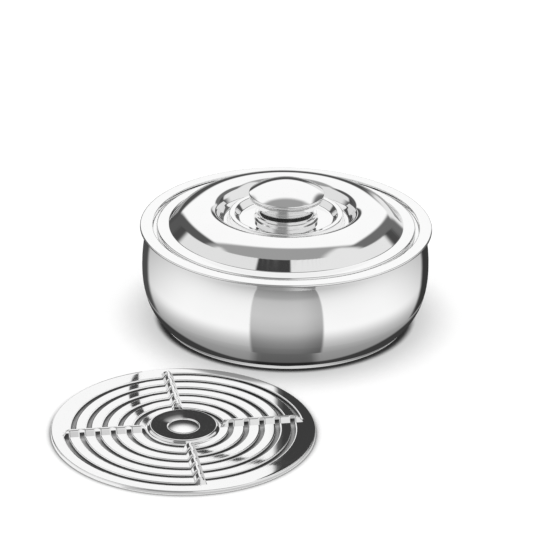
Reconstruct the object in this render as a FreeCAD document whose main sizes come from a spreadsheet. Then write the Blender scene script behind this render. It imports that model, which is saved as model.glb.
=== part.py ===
import FreeCAD, Part
import math
import os
import Sketcher

# Insulated chapati casserole: a double-walled steel bowl, a double-walled domed lid with a knob,
# and the slotted bread rack that lies beside it, taken out of the bowl.
# Millimetres, +Z up, origin at the centre of the bowl's foot on the table, photographed side at -Y.

Vector = FreeCAD.Vector

# Side of an outline, seen along it, on which the sheet's gauge lies
LEFT, RIGHT = 1, -1

# Share of a straight run that the two bends at its ends may take
RUN_SHARE = 0.98

SIZES = {
    # Sheet metal and the small gaps between nested pieces
    "sheet_gauge": 0.5,
    "foam_gap": 0.3,
    # Rim: a flat flange, then the recess in which the lid sits
    "rim_radius": 117.5,
    "bowl_height": 81.0,
    "rim_width": 10.3,
    "rim_bend": 0.9,
    "hem_bend": 0.65,
    "seat_depth": 4.0,
    "seat_width": 6.4,
    # Outer bowl: neck, belly and heel
    "neck_space": 4.3,
    "wall_space": 15.0,
    "shoulder_drop": 20.2,
    "belly_low": 34.3,
    "shoulder_bend": 128.0,
    "belly_bend": 79.0,
    "heel_inset": 5.0,
    "heel_height": 14.3,
    "heel_bend": 45.0,
    "toe_inset": 13.8,
    # Inner bowl
    "floor_height": 18.0,
    "floor_bend": 24.0,
    # Foot ring and base plate
    "foot_inset": 16.5,
    "foot_height": 4.0,
    "foot_width": 5.0,
    "foot_bend": 0.8,
    "base_recess": 1.8,
    "base_lip": 8.0,
    "plug_radius": 9.0,
    "plug_head_radius": 11.7,
    "plug_head_height": 1.2,
    "plug_snap_gap": 0.1,
    # Lid shell, heights measured up from the rim
    "lid_gap": 3.0,
    "lid_curl": 1.9,
    "flange_width": 9.6,
    "dome_rise": 16.5,
    "dome_bend": 21.7,
    "well_edge_radius": 57.8,
    "well_edge_bend": 12.0,
    "groove_radius": 50.3,
    "groove_width": 3.0,
    "groove_rise": 2.4,
    "bead_radius": 45.6,
    "bead_width": 4.1,
    "bead_rise": 10.2,
    "bead_bend": 2.0,
    "plateau_radius": 37.5,
    "plateau_rise": 4.3,
    # Lid liner
    "skirt_gap": 1.2,
    "skirt_depth": 9.0,
    "skirt_bend": 3.0,
    "step_radius": 70.0,
    "step_run": 8.0,
    "step_rise": 4.0,
    "foam_pocket_gap": 1.5,
    # Knob
    "collar_radius": 26.0,
    "collar_waist": 24.0,
    "collar_lip": 24.6,
    "collar_height": 7.2,
    "collar_flange": 1.8,
    "collar_edge_bend": 0.6,
    "collar_waist_low": 3.2,
    "collar_waist_high": 5.0,
    "collar_waist_bend": 1.8,
    "collar_lip_bend": 0.45,
    "gasket_radius": 21.5,
    "gasket_height": 1.5,
    "knob_gauge": 0.6,
    "knob_radius": 30.3,
    "cup_floor_radius": 22.0,
    "cup_floor_bend": 4.0,
    "cup_flare": 11.3,
    "cup_side_bend": 5.5,
    "cup_height": 13.2,
    "cap_edge": 1.1,
    "cap_rise": 9.6,
    "cap_shoulder": 16.7,
    "cap_bend": 50.0,
    # Knob fastener
    "screw_radius": 2.5,
    "screw_clearance": 0.4,
    "screw_head_radius": 4.8,
    "screw_head_height": 3.0,
    "screw_head_bend": 1.5,
    "thread_clearance": 0.1,
    "washer_radius": 7.5,
    "washer_height": 1.0,
    "insert_radius": 6.0,
    "insert_flange_radius": 9.0,
    "insert_flange_height": 1.2,
    "insert_height": 6.5,
    # Rack, lying on its turned-down edge
    "rack_clearance": 0.8,
    "rack_gauge": 0.8,
    "rack_edge_height": 3.2,
    "rack_edge_bend": 1.4,
    "hole_radius": 11.4,
    "boss_radius": 28.0,
    "boss_slope": 3.5,
    "boss_rise": 2.4,
    "boss_dish": 1.0,
    "ridge_half_width": 4.3,
    "ridge_crest": 0.6,
    "ridge_rise": 4.4,
    "rack_border": 11.0,
    "slot_rows": 6,
    "slot_first": 30.0,
    "slot_width": 3.8,
    "slot_end": 0.5,
    "rack_gap": 2.1,
    "rack_bearing": 20.25,
    "rack_turn": 10.0,
}

# Radii and levels that follow from the sizes above
RECESS = "(Sizes.rim_radius - Sizes.rim_width)"
MOUTH = f"({RECESS} - Sizes.seat_width)"
NECK = f"({RECESS} + Sizes.neck_space)"
BELLY = f"({MOUTH} + Sizes.wall_space)"
FOOT = f"({BELLY} - Sizes.foot_inset)"
LID = f"({RECESS} - Sizes.lid_gap)"
SKIRT = f"({MOUTH} - Sizes.skirt_gap)"
FLANK = f"({LID} - Sizes.flange_width)"
COLLAR_FOOT = "(Sizes.bowl_height + Sizes.plateau_rise)"
COLLAR_TOP = f"({COLLAR_FOOT} + Sizes.collar_height)"
CUP_FOOT = f"({COLLAR_TOP} + Sizes.gasket_height)"
BORE = "(Sizes.screw_radius + Sizes.screw_clearance)"
RACK = f"({MOUTH} - Sizes.rack_clearance)"
RIDGE_END = f"({RACK} - Sizes.rack_border + Sizes.slot_width / 2)"
SLOT_PITCH = f"(({RACK} - Sizes.rack_border - Sizes.slot_first) / (Sizes.slot_rows - 1))"
RACK_REACH = f"(Sizes.rim_radius + Sizes.rack_gap + {RACK})"


def make_sheet(doc):
    """Write the driving dimensions into the spreadsheet, one alias a row."""
    sheet = doc.addObject("Spreadsheet::Sheet", "Sizes")
    for row, (name, value) in enumerate(SIZES.items(), start=1):
        sheet.set(f"A{row}", name)
        sheet.set(f"B{row}", str(value))
        sheet.setAlias(f"B{row}", name)
    doc.recompute()
    return sheet


def value_of(thing, expression):
    """Number that an expression in the sheet's names stands for."""
    return float(thing.evalExpression(str(expression)))


def origin_plane(body, role):
    """One of the body's own origin planes or axes, found by its role."""
    return next(item for item in body.Origin.OriginFeatures if item.Role == role)


def new_sketch(body, name, role):
    """Empty sketch on one of the body's origin planes."""
    sketch = body.newObject("Sketcher::SketchObject", name)
    sketch.AttachmentSupport = [(origin_plane(body, role), "")]
    sketch.MapMode = "FlatFace"
    return sketch


class Outline:
    """Straight runs through given corners, joined by tangent arcs, drawn and dimensioned in a sketch."""

    def __init__(self, sketch, corners, closed=False):
        self.sketch = sketch
        self.closed = closed
        self.corners = [tuple(corner) + (None,) * (3 - len(corner)) for corner in corners]
        self.points = [Vector(value_of(sketch, x), value_of(sketch, y), 0) for x, y, _ in self.corners]
        self.count = len(self.points)
        self.runs = self.count if closed else self.count - 1
        self.along = [self.direction(index) for index in range(self.runs)]
        self.wanted = [value_of(sketch, bend) if bend else 0.0 for _, _, bend in self.corners]
        self.bends = self.limit_bends()
        self.geometry = []
        self.constraints = []
        self.bound = []

    def direction(self, index):
        """Unit vector of one straight run."""
        return (self.points[(index + 1) % self.count] - self.points[index]).normalize()

    def half_turn(self, index):
        """Tangent of half the angle through which the outline turns at a corner."""
        before, after = self.along[index - 1], self.along[index]
        return math.tan(before.getAngle(after) / 2)

    def limit_bends(self):
        """Bend radii, each no larger than the two runs beside it leave room for."""
        bends = list(self.wanted)
        for index in range(self.runs):
            ends = [index, (index + 1) % self.count]
            length = (self.points[ends[1]] - self.points[ends[0]]).Length
            taken = sum(self.wanted[end] * self.half_turn(end) for end in ends if self.wanted[end])
            if taken > RUN_SHARE * length:
                for end in ends:
                    bends[end] = min(bends[end], self.wanted[end] * RUN_SHARE * length / taken)
        return bends

    def bind(self, expression, *parts):
        """Queue a dimension whose value is an expression."""
        self.bound.append((len(self.constraints), expression))
        self.constraints.append(Sketcher.Constraint(*parts, value_of(self.sketch, expression)))

    def relate(self, *parts):
        """Queue a relation without a value."""
        self.constraints.append(Sketcher.Constraint(*parts))

    def add(self, shape):
        """Queue a piece of geometry and give its index."""
        self.geometry.append(shape)
        return len(self.geometry) - 1

    def draw_side(self, offset=0.0):
        """Queue the runs and arcs of the outline, moved sideways by offset; give their indices."""
        normals = [Vector(-step.y, step.x, 0) for step in self.along]
        moved = []
        for index, point in enumerate(self.points):
            before = normals[index - 1] if index or self.closed else normals[0]
            after = normals[index] if index < self.runs else normals[-1]
            moved.append(point + (before + after) * (offset / (1 + before.dot(after))))
        radii = []
        for index in range(self.count):
            if not self.bends[index]:
                radii.append(0.0)
                continue
            turn = self.along[index - 1].cross(self.along[index]).z
            radii.append(self.bends[index] - math.copysign(offset, offset * turn) * (offset != 0))
        trims = [radii[i] * self.half_turn(i) if radii[i] else 0.0 for i in range(self.count)]
        lines = []
        for index in range(self.runs):
            last = (index + 1) % self.count
            start = moved[index] + self.along[index] * trims[index]
            end = moved[last] - self.along[index] * trims[last]
            lines.append(self.add(Part.LineSegment(start, end)))
        arcs = {}
        for index in range(self.count):
            if not radii[index]:
                continue
            start = moved[index] - self.along[index - 1] * trims[index]
            end = moved[index] + self.along[index] * trims[index]
            inward = (self.along[index] - self.along[index - 1]).normalize()
            reach = math.hypot(trims[index], radii[index]) - radii[index]
            arc = Part.Arc(start, moved[index] + inward * reach, end)
            arcs[index] = self.add(arc)
            flipped = self.along[index - 1].cross(self.along[index]).z < 0
            first, second = (2, 1) if flipped else (1, 2)
            self.relate("Tangent", lines[index - 1], 2, arcs[index], first)
            self.relate("Tangent", arcs[index], second, lines[index % len(lines)], 1)
        return lines, arcs, radii

    def draw_main(self):
        """The outline itself, each corner held at its coordinates."""
        lines, arcs, radii = self.draw_side()
        for index, (x, y, bend) in enumerate(self.corners):
            if index in arcs:
                corner = self.add(Part.Point(self.points[index]))
                self.relate("PointOnObject", corner, 1, lines[index - 1])
                self.relate("PointOnObject", corner, 1, lines[index % len(lines)])
                self.hold(corner, 1, x, y)
                self.size_arc(arcs[index], radii[index], index, bend)
            else:
                first = index if index < self.runs else self.runs - 1
                end = 1 if index < self.runs else 2
                self.hold(lines[first], end, x, y)
                if index < self.runs and (index or self.closed):
                    self.relate("Coincident", lines[index - 1], 2, lines[index], 1)
        return lines

    def hold(self, item, end, x, y):
        """Fix a point at its coordinates from the sketch's origin."""
        self.bind(x, "DistanceX", -1, 1, item, end)
        self.bind(y, "DistanceY", -1, 1, item, end)

    def size_arc(self, arc, radius, index, expression):
        """Radius of an arc; a bend that its walls limit keeps the limited number."""
        if self.bends[index] == self.wanted[index]:
            self.bind(expression, "Radius", arc)
        else:
            self.constraints.append(Sketcher.Constraint("Radius", arc, radius))

    def draw_sheet(self, gauge, side):
        """The outline and its parallel at one gauge, closed by two square ends."""
        main = self.draw_main()
        thickness = value_of(self.sketch, gauge)
        lines, arcs, radii = self.draw_side(side * thickness)
        for index, line in enumerate(lines):
            self.relate("Parallel", main[index], line)
            self.bind(gauge, "Distance", line, 1, main[index])
        for index, arc in arcs.items():
            turn = self.along[index - 1].cross(self.along[index]).z
            sign = "-" if turn * side > 0 else "+"
            self.size_arc(arc, radii[index], index, f"{self.corners[index][2]} {sign} {gauge}")
        for end, index in ((1, 0), (2, -1)):
            start = self.geometry[main[index]].StartPoint if end == 1 else self.geometry[main[index]].EndPoint
            finish = self.geometry[lines[index]].StartPoint if end == 1 else self.geometry[lines[index]].EndPoint
            cap = self.add(Part.LineSegment(start, finish))
            self.relate("Coincident", main[index], end, cap, 1)
            self.relate("Coincident", lines[index], end, cap, 2)
            self.relate("Perpendicular", cap, main[index])

    def finish(self):
        """Put the queued geometry and constraints into the sketch."""
        self.sketch.addGeometry(self.geometry, False)
        for index, shape in enumerate(self.geometry):
            if shape.TypeId == "Part::GeomPoint":
                self.sketch.toggleConstruction(index)
        self.sketch.addConstraint(self.constraints)
        for index, expression in self.bound:
            self.sketch.setExpression(f"Constraints[{index}]", str(expression))


def new_body(doc, name, level="0"):
    """Body for one piece, set at its level above the table."""
    body = doc.addObject("PartDesign::Body", name)
    body.Label = name
    body.setExpression("Placement.Base.z", level)
    return body


def revolve(body, sketch):
    """Turn a half section about the vertical axis."""
    turned = body.newObject("PartDesign::Revolution", body.Name + "_turned")
    turned.Profile = sketch
    turned.ReferenceAxis = (sketch, ["V_Axis"])
    turned.Angle = 360
    sketch.Visibility = False
    body.Tip = turned
    return turned


def spun_sheet(doc, name, corners, gauge, side, level="0"):
    """Piece spun or pressed from sheet: its outline from end to end, and the side that its gauge lies on."""
    body = new_body(doc, name, level)
    sketch = new_sketch(body, name + "_section", "XZ_Plane")
    outline = Outline(sketch, corners)
    outline.draw_sheet(gauge, side)
    outline.finish()
    revolve(body, sketch)
    return body


def turned_solid(doc, name, corners, level="0"):
    """Solid piece of revolution from its closed half section."""
    body = new_body(doc, name, level)
    sketch = new_sketch(body, name + "_section", "XZ_Plane")
    outline = Outline(sketch, corners, closed=True)
    outline.draw_main()
    outline.finish()
    revolve(body, sketch)
    return body


def make_outer_bowl(doc):
    """Outer shell: clamped lip under the rim, round belly, edge turned in over the foot."""
    lip_level = "Sizes.bowl_height - 2 * Sizes.sheet_gauge"
    corners = [
        ("Sizes.rim_radius - 3 * Sizes.sheet_gauge", lip_level),
        (NECK, lip_level, "2 * Sizes.sheet_gauge"),
        (BELLY, "Sizes.bowl_height - Sizes.shoulder_drop", "Sizes.shoulder_bend"),
        (BELLY, "Sizes.belly_low", "Sizes.belly_bend"),
        (f"{BELLY} - Sizes.heel_inset", "Sizes.heel_height", "Sizes.heel_bend"),
        (f"{BELLY} - Sizes.toe_inset", "Sizes.foot_height", "2 * Sizes.sheet_gauge"),
        (f"{FOOT} - Sizes.base_lip", "Sizes.foot_height"),
    ]
    return spun_sheet(doc, "outer_bowl", corners, "Sizes.sheet_gauge", RIGHT)


def make_inner_bowl(doc):
    """Liner: edge folded under the outer shell's lip, flat rim, lid seat, wall and floor."""
    bend = "Sizes.rim_bend"
    seat = "Sizes.bowl_height - Sizes.seat_depth"
    corners = [
        (f"{NECK} + 4 * Sizes.sheet_gauge", "Sizes.bowl_height - 3 * Sizes.sheet_gauge"),
        ("Sizes.rim_radius", "Sizes.bowl_height - 3 * Sizes.sheet_gauge", "Sizes.hem_bend"),
        ("Sizes.rim_radius", "Sizes.bowl_height", "Sizes.hem_bend"),
        (RECESS, "Sizes.bowl_height", bend),
        (RECESS, seat, bend),
        (MOUTH, seat, bend),
        (MOUTH, "Sizes.floor_height", "Sizes.floor_bend"),
        ("0", "Sizes.floor_height"),
    ]
    return spun_sheet(doc, "inner_bowl", corners, "Sizes.sheet_gauge", LEFT)


def make_bowl_insulation(doc):
    """Rigid foam that fills the space between the two bowls."""
    gap = "(Sizes.sheet_gauge + Sizes.foam_gap)"
    top = f"Sizes.bowl_height - Sizes.seat_depth - {gap}"
    corners = [
        (f"{NECK} - {gap}", top),
        (f"{BELLY} - {gap}", "Sizes.bowl_height - Sizes.shoulder_drop", "Sizes.shoulder_bend"),
        (f"{BELLY} - {gap}", "Sizes.belly_low", "Sizes.belly_bend"),
        (f"{BELLY} - Sizes.heel_inset - {gap}", f"Sizes.heel_height + {gap}", "Sizes.heel_bend"),
        (f"{BELLY} - Sizes.toe_inset - {gap}", f"Sizes.foot_height + {gap}"),
        ("0", f"Sizes.foot_height + {gap}"),
        ("0", f"Sizes.floor_height - {gap}"),
        (f"{MOUTH} + {gap}", f"Sizes.floor_height - {gap}", f"Sizes.floor_bend + {gap}"),
        (f"{MOUTH} + {gap}", top),
    ]
    return turned_solid(doc, "bowl_insulation", corners)


def make_base_plate(doc):
    """Pressed base: recessed disc with the foot ring that carries the bowl."""
    bend = "2 * Sizes.sheet_gauge"
    corners = [
        ("Sizes.plug_radius", "Sizes.base_recess"),
        (f"{FOOT} - Sizes.foot_width", "Sizes.base_recess", bend),
        (f"{FOOT} - Sizes.foot_width + Sizes.base_recess / 2", "0", "Sizes.foot_bend"),
        (FOOT, "0", bend),
        (FOOT, "Sizes.foot_height"),
    ]
    return spun_sheet(doc, "base_plate", corners, "Sizes.sheet_gauge", LEFT)


def make_foam_plug(doc):
    """Plug that closes the filling hole in the base plate: head, stem and snap lip."""
    stem = "(Sizes.plug_radius - Sizes.foam_gap)"
    underside = "Sizes.base_recess"
    snap = "(Sizes.base_recess + Sizes.sheet_gauge + Sizes.plug_snap_gap)"
    corners = [
        ("0", f"{underside} - Sizes.plug_head_height"),
        ("Sizes.plug_head_radius", f"{underside} - Sizes.plug_head_height", "Sizes.sheet_gauge"),
        ("Sizes.plug_head_radius", underside),
        (stem, underside),
        (stem, snap),
        (f"{stem} + Sizes.sheet_gauge", snap),
        (f"{stem} - Sizes.sheet_gauge", "Sizes.foot_height"),
        ("0", "Sizes.foot_height"),
    ]
    return turned_solid(doc, "foam_plug", corners)


def make_lid_shell(doc):
    """Lid outside: knob plateau, raised bead, finger well, dome, flat flange and curled edge."""
    bend = "Sizes.bead_bend"
    corners = [
        (BORE, "Sizes.plateau_rise"),
        ("Sizes.plateau_radius", "Sizes.plateau_rise", bend),
        ("Sizes.bead_radius - Sizes.bead_width", "Sizes.bead_rise", bend),
        ("Sizes.bead_radius", "Sizes.bead_rise", bend),
        ("Sizes.groove_radius - Sizes.groove_width", "Sizes.groove_rise", "Sizes.bead_bend / 2"),
        ("Sizes.groove_radius", "Sizes.groove_rise", bend),
        ("Sizes.well_edge_radius", "Sizes.dome_rise", "Sizes.well_edge_bend"),
        (f"{FLANK} - Sizes.dome_rise", "Sizes.dome_rise", "Sizes.dome_bend"),
        (FLANK, "0", bend),
        (LID, "0", "Sizes.lid_curl"),
        (LID, "-Sizes.seat_depth", "Sizes.lid_curl"),
        (f"{LID} - Sizes.lid_curl - Sizes.sheet_gauge", "-Sizes.seat_depth"),
    ]
    return spun_sheet(doc, "lid_shell", corners, "Sizes.sheet_gauge", RIGHT, "Sizes.bowl_height")


def make_lid_liner(doc):
    """Lid inside: flange held under the shell, locating skirt and stepped pan."""
    flange = "-2 * Sizes.sheet_gauge"
    pan = "-Sizes.skirt_depth"
    corners = [
        (f"{LID} - Sizes.lid_curl", flange),
        (SKIRT, flange, "2 * Sizes.sheet_gauge"),
        (SKIRT, pan, "Sizes.skirt_bend"),
        ("Sizes.step_radius", pan, "Sizes.skirt_bend"),
        ("Sizes.step_radius - Sizes.step_run", f"{pan} + Sizes.step_rise", "Sizes.skirt_bend"),
        ("0", f"{pan} + Sizes.step_rise"),
    ]
    return spun_sheet(doc, "lid_liner", corners, "Sizes.sheet_gauge", RIGHT, "Sizes.bowl_height")


def make_lid_insulation(doc):
    """Foam between the lid's two skins, clear of the screw head."""
    gap = "(Sizes.sheet_gauge + Sizes.foam_gap)"
    under = f"(Sizes.groove_rise - {gap})"
    pocket = "(Sizes.washer_radius + Sizes.foam_pocket_gap)"
    pan = f"({gap} - Sizes.skirt_depth)"
    corners = [
        (pocket, under),
        (f"Sizes.groove_radius + {gap}", under),
        (f"Sizes.well_edge_radius + {gap}", f"Sizes.dome_rise - {gap}", "Sizes.well_edge_bend"),
        (f"{FLANK} - Sizes.dome_rise - {gap}", f"Sizes.dome_rise - {gap}", "Sizes.dome_bend"),
        (f"{FLANK} - 2 * {gap}", "-Sizes.sheet_gauge"),
        (f"{SKIRT} - 2 * {gap}", f"{pan} + Sizes.skirt_bend"),
        (f"{SKIRT} - 2 * {gap} - Sizes.skirt_bend", pan),
        (f"Sizes.step_radius + {gap}", pan),
        (f"Sizes.step_radius - Sizes.step_run + {gap}", f"{pan} + Sizes.step_rise"),
        (pocket, f"{pan} + Sizes.step_rise"),
    ]
    return turned_solid(doc, "lid_insulation", corners, "Sizes.bowl_height")


def make_knob_collar(doc):
    """Turned collar on the lid's plateau: flange, waist and lip round a screw bore."""
    corners = [
        (BORE, "0"),
        ("Sizes.collar_radius", "0"),
        ("Sizes.collar_radius", "Sizes.collar_flange", "Sizes.collar_edge_bend"),
        ("Sizes.collar_waist", "Sizes.collar_waist_low", "Sizes.collar_waist_bend"),
        ("Sizes.collar_waist", "Sizes.collar_waist_high", "Sizes.collar_waist_bend"),
        ("Sizes.collar_lip", "Sizes.collar_height", "Sizes.collar_lip_bend"),
        (BORE, "Sizes.collar_height"),
    ]
    return turned_solid(doc, "knob_collar", corners, COLLAR_FOOT)


def make_knob_gasket(doc):
    """Dark spacer ring between collar and cup."""
    corners = [
        (BORE, "0"),
        ("Sizes.gasket_radius", "0"),
        ("Sizes.gasket_radius", "Sizes.gasket_height"),
        (BORE, "Sizes.gasket_height"),
    ]
    return turned_solid(doc, "knob_gasket", corners, COLLAR_TOP)


def make_knob_cup(doc):
    """Lower half of the hollow knob: flat floor and flared side."""
    corners = [
        (BORE, "0"),
        ("Sizes.cup_floor_radius", "0", "Sizes.cup_floor_bend"),
        ("Sizes.knob_radius", "Sizes.cup_flare", "Sizes.cup_side_bend"),
        ("Sizes.knob_radius", "Sizes.cup_height"),
    ]
    return spun_sheet(doc, "knob_cup", corners, "Sizes.knob_gauge", LEFT, CUP_FOOT)


def make_knob_cap(doc):
    """Domed top of the knob, its short edge butted on the cup."""
    shoulder = "(Sizes.cup_height + Sizes.cap_edge)"
    top = f"({shoulder} + Sizes.cap_rise)"
    corners = [
        ("0", top),
        ("Sizes.cap_shoulder", top, "Sizes.cap_bend"),
        ("Sizes.knob_radius", shoulder, "Sizes.cap_edge"),
        ("Sizes.knob_radius", "Sizes.cup_height"),
    ]
    return spun_sheet(doc, "knob_cap", corners, "Sizes.knob_gauge", RIGHT, CUP_FOOT)


def make_knob_insert(doc):
    """Threaded insert on the cup's floor: welding flange and boss."""
    floor = "Sizes.knob_gauge"
    bore = "(Sizes.screw_radius + Sizes.thread_clearance)"
    corners = [
        (bore, floor),
        ("Sizes.insert_flange_radius", floor),
        ("Sizes.insert_flange_radius", f"{floor} + Sizes.insert_flange_height"),
        ("Sizes.insert_radius", f"{floor} + Sizes.insert_flange_height"),
        ("Sizes.insert_radius", f"{floor} + Sizes.insert_height"),
        (bore, f"{floor} + Sizes.insert_height"),
    ]
    return turned_solid(doc, "knob_insert", corners, CUP_FOOT)


def make_knob_washer(doc):
    """Washer against the inside of the lid's plateau."""
    underside = "(Sizes.plateau_rise - Sizes.sheet_gauge)"
    corners = [
        (BORE, f"{underside} - Sizes.washer_height"),
        ("Sizes.washer_radius", f"{underside} - Sizes.washer_height"),
        ("Sizes.washer_radius", underside),
        (BORE, underside),
    ]
    return turned_solid(doc, "knob_washer", corners, "Sizes.bowl_height")


def make_knob_screw(doc):
    """Screw from inside the lid: domed head, and a shank up into the insert."""
    seat = "(Sizes.plateau_rise - Sizes.sheet_gauge - Sizes.washer_height)"
    tip = (
        "(Sizes.plateau_rise + Sizes.collar_height + Sizes.gasket_height"
        " + Sizes.knob_gauge + Sizes.insert_height)"
    )
    corners = [
        ("0", f"{seat} - Sizes.screw_head_height"),
        ("Sizes.screw_head_radius", f"{seat} - Sizes.screw_head_height", "Sizes.screw_head_bend"),
        ("Sizes.screw_head_radius", seat),
        ("Sizes.screw_radius", seat),
        ("Sizes.screw_radius", tip),
        ("0", tip),
    ]
    return turned_solid(doc, "knob_screw", corners, "Sizes.bowl_height")


def add_ridges(doc, body, kind, name, level):
    """Four hipped ridges between boss and border, added to the plate or hollowed from below."""
    ridge = body.newObject(kind, name)
    ridge.Placement = FreeCAD.Placement(Vector(0, 0, 0), FreeCAD.Rotation(Vector(1, 0, 0), 90))
    sizes = {
        "Xmin": "Sizes.boss_radius",
        "Xmax": RIDGE_END,
        "X2min": "Sizes.boss_radius + Sizes.ridge_rise",
        "X2max": f"{RIDGE_END} - Sizes.ridge_rise",
        "Ymin": "0",
        "Ymax": "Sizes.ridge_rise",
        "Zmin": "-Sizes.ridge_half_width",
        "Zmax": "Sizes.ridge_half_width",
        "Z2min": "-Sizes.ridge_crest",
        "Z2max": "Sizes.ridge_crest",
    }
    for prop, expression in sizes.items():
        ridge.setExpression(prop, expression)
    ridge.setExpression("Placement.Base.z", level)
    doc.recompute()
    return repeat_round(body, ridge, name + "_round", "4")


def repeat_round(body, feature, name, copies):
    """Copies of a feature spaced evenly about the vertical axis."""
    pattern = body.newObject("PartDesign::PolarPattern", name)
    pattern.Originals = [feature]
    pattern.Axis = (origin_plane(body, "Z_Axis"), [""])
    pattern.Angle = 360
    pattern.setExpression("Occurrences", copies)
    body.Tip = pattern
    return pattern


def add_slot(sketch, radius, flip):
    """One arc slot of the quadrant, its round ends close to the two ridges' centre lines."""
    half = "(Sizes.slot_width / 2)"
    aside = f"(Sizes.slot_end + {half})"
    along = f"sqrt(({radius})^2 - {aside}^2)"
    mid, width, near, far = (value_of(sketch, item) for item in (radius, half, aside, along))
    start, end = math.atan2(near, far), math.atan2(far, near)
    if flip:
        start, end = math.pi - end, math.pi - start
    up = Vector(0, 0, 1)
    ends = [Vector(mid * math.cos(angle), mid * math.sin(angle), 0) for angle in (start, end)]
    outer = Part.ArcOfCircle(Part.Circle(Vector(), up, mid + width), start, end)
    inner = Part.ArcOfCircle(Part.Circle(Vector(), up, mid - width), start, end)
    first = Part.ArcOfCircle(Part.Circle(ends[0], up, width), start + math.pi, start + 2 * math.pi)
    last = Part.ArcOfCircle(Part.Circle(ends[1], up, width), end, end + math.pi)
    a = sketch.GeometryCount
    b, c, d = a + 1, a + 2, a + 3
    sketch.addGeometry([outer, inner, first, last], False)
    relations = [
        ("Coincident", a, 3, -1, 1),
        ("Coincident", b, 3, -1, 1),
        ("Tangent", a, 1, c, 2),
        ("Tangent", b, 1, c, 1),
        ("Tangent", a, 2, d, 1),
        ("Tangent", b, 2, d, 2),
    ]
    sketch.addConstraint([Sketcher.Constraint(*item) for item in relations])
    by_x, by_y = (c, d) if flip else (d, c)
    dimensions = [
        (f"{radius} + {half}", ("Radius", a)),
        (f"{radius} - {half}", ("Radius", b)),
        (f"-{aside}" if flip else aside, ("DistanceX", -1, 1, by_x, 3)),
        (aside, ("DistanceY", -1, 1, by_y, 3)),
    ]
    for expression, parts in dimensions:
        place = sketch.addConstraint(Sketcher.Constraint(*parts, value_of(sketch, expression)))
        sketch.setExpression(f"Constraints[{place}]", expression)


def cut_slots(doc, body, name, first, rows, flip):
    """Concentric slots through one quadrant and the one opposite."""
    sketch = new_sketch(body, name + "_plan", "XY_Plane")
    for row in range(rows):
        add_slot(sketch, f"({first} + {row} * {SLOT_PITCH})", flip)
    doc.recompute()
    before = body.Tip.Shape.Volume
    pocket = body.newObject("PartDesign::Pocket", name)
    pocket.Profile = sketch
    pocket.Type = "Length"
    pocket.Reversed = True
    pocket.setExpression("Length", "Sizes.rack_edge_height + Sizes.ridge_rise + Sizes.slot_width")
    sketch.Visibility = False
    body.Tip = pocket
    doc.recompute()
    if pocket.Shape.Volume >= before:
        raise RuntimeError(f"{name} cuts nothing")
    return repeat_round(body, pocket, name + "_round", "2")


def make_roti_rack(doc):
    """Slotted bread rack: turned-down edge, dished boss with finger hole, ridges and staggered slots."""
    edge = "Sizes.rack_edge_height"
    boss_top = f"{edge} + Sizes.boss_rise"
    corners = [
        ("Sizes.hole_radius", f"{boss_top} - Sizes.boss_dish"),
        ("Sizes.boss_radius - Sizes.boss_slope", boss_top, "Sizes.rack_edge_bend"),
        ("Sizes.boss_radius", edge, "Sizes.rack_edge_bend"),
        (RACK, edge, "Sizes.rack_edge_bend"),
        (RACK, "0"),
    ]
    body = spun_sheet(doc, "roti_rack", corners, "Sizes.rack_gauge", RIGHT)
    doc.recompute()
    add_ridges(doc, body, "PartDesign::AdditiveWedge", "ridge", edge)
    add_ridges(doc, body, "PartDesign::SubtractiveWedge", "ridge_hollow", f"{edge} - Sizes.rack_gauge")
    doc.recompute()
    rows = int(value_of(body, "Sizes.slot_rows"))
    cut_slots(doc, body, "slots_a", "Sizes.slot_first", rows, flip=False)
    cut_slots(doc, body, "slots_b", f"(Sizes.slot_first + {SLOT_PITCH} / 2)", rows - 1, flip=True)
    body.setExpression("Placement.Base.x", f"-{RACK_REACH} * sin(Sizes.rack_bearing)")
    body.setExpression("Placement.Base.y", f"-{RACK_REACH} * cos(Sizes.rack_bearing)")
    body.setExpression("Placement.Rotation.Angle", "Sizes.rack_turn")
    return body


PIECES = [
    make_outer_bowl,
    make_inner_bowl,
    make_bowl_insulation,
    make_base_plate,
    make_foam_plug,
    make_lid_shell,
    make_lid_liner,
    make_lid_insulation,
    make_knob_collar,
    make_knob_gasket,
    make_knob_cup,
    make_knob_cap,
    make_knob_insert,
    make_knob_washer,
    make_knob_screw,
    make_roti_rack,
]


def check(doc, pieces):
    """Stop on any failed object and on any empty or broken piece."""
    for item in doc.Objects:
        if {"Invalid", "Error"} & set(item.State):
            raise RuntimeError(f"{item.Name} failed: {item.State}")
    for piece in pieces:
        if piece.Shape.isNull() or not piece.Shape.isValid() or len(piece.Shape.Solids) != 1:
            raise RuntimeError(f"{piece.Label} is not one valid solid")


def main():
    doc = FreeCAD.newDocument("chapati_casserole")
    make_sheet(doc)
    pieces = [make(doc) for make in PIECES]
    doc.recompute()
    check(doc, pieces)
    os.makedirs("parts", exist_ok=True)
    for piece in pieces:
        piece.Shape.exportStep(f"parts/{piece.Label}.step")
        box = piece.Shape.optimalBoundingBox(False)
        print(f"{piece.Label}: {piece.Shape.Volume:.0f} mm3, z {box.ZMin:.2f} to {box.ZMax:.2f}")


main()
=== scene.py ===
"""Insulated chapati casserole, lid on, its bread rack lying beside it: finish, studio and camera."""
import math

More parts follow.
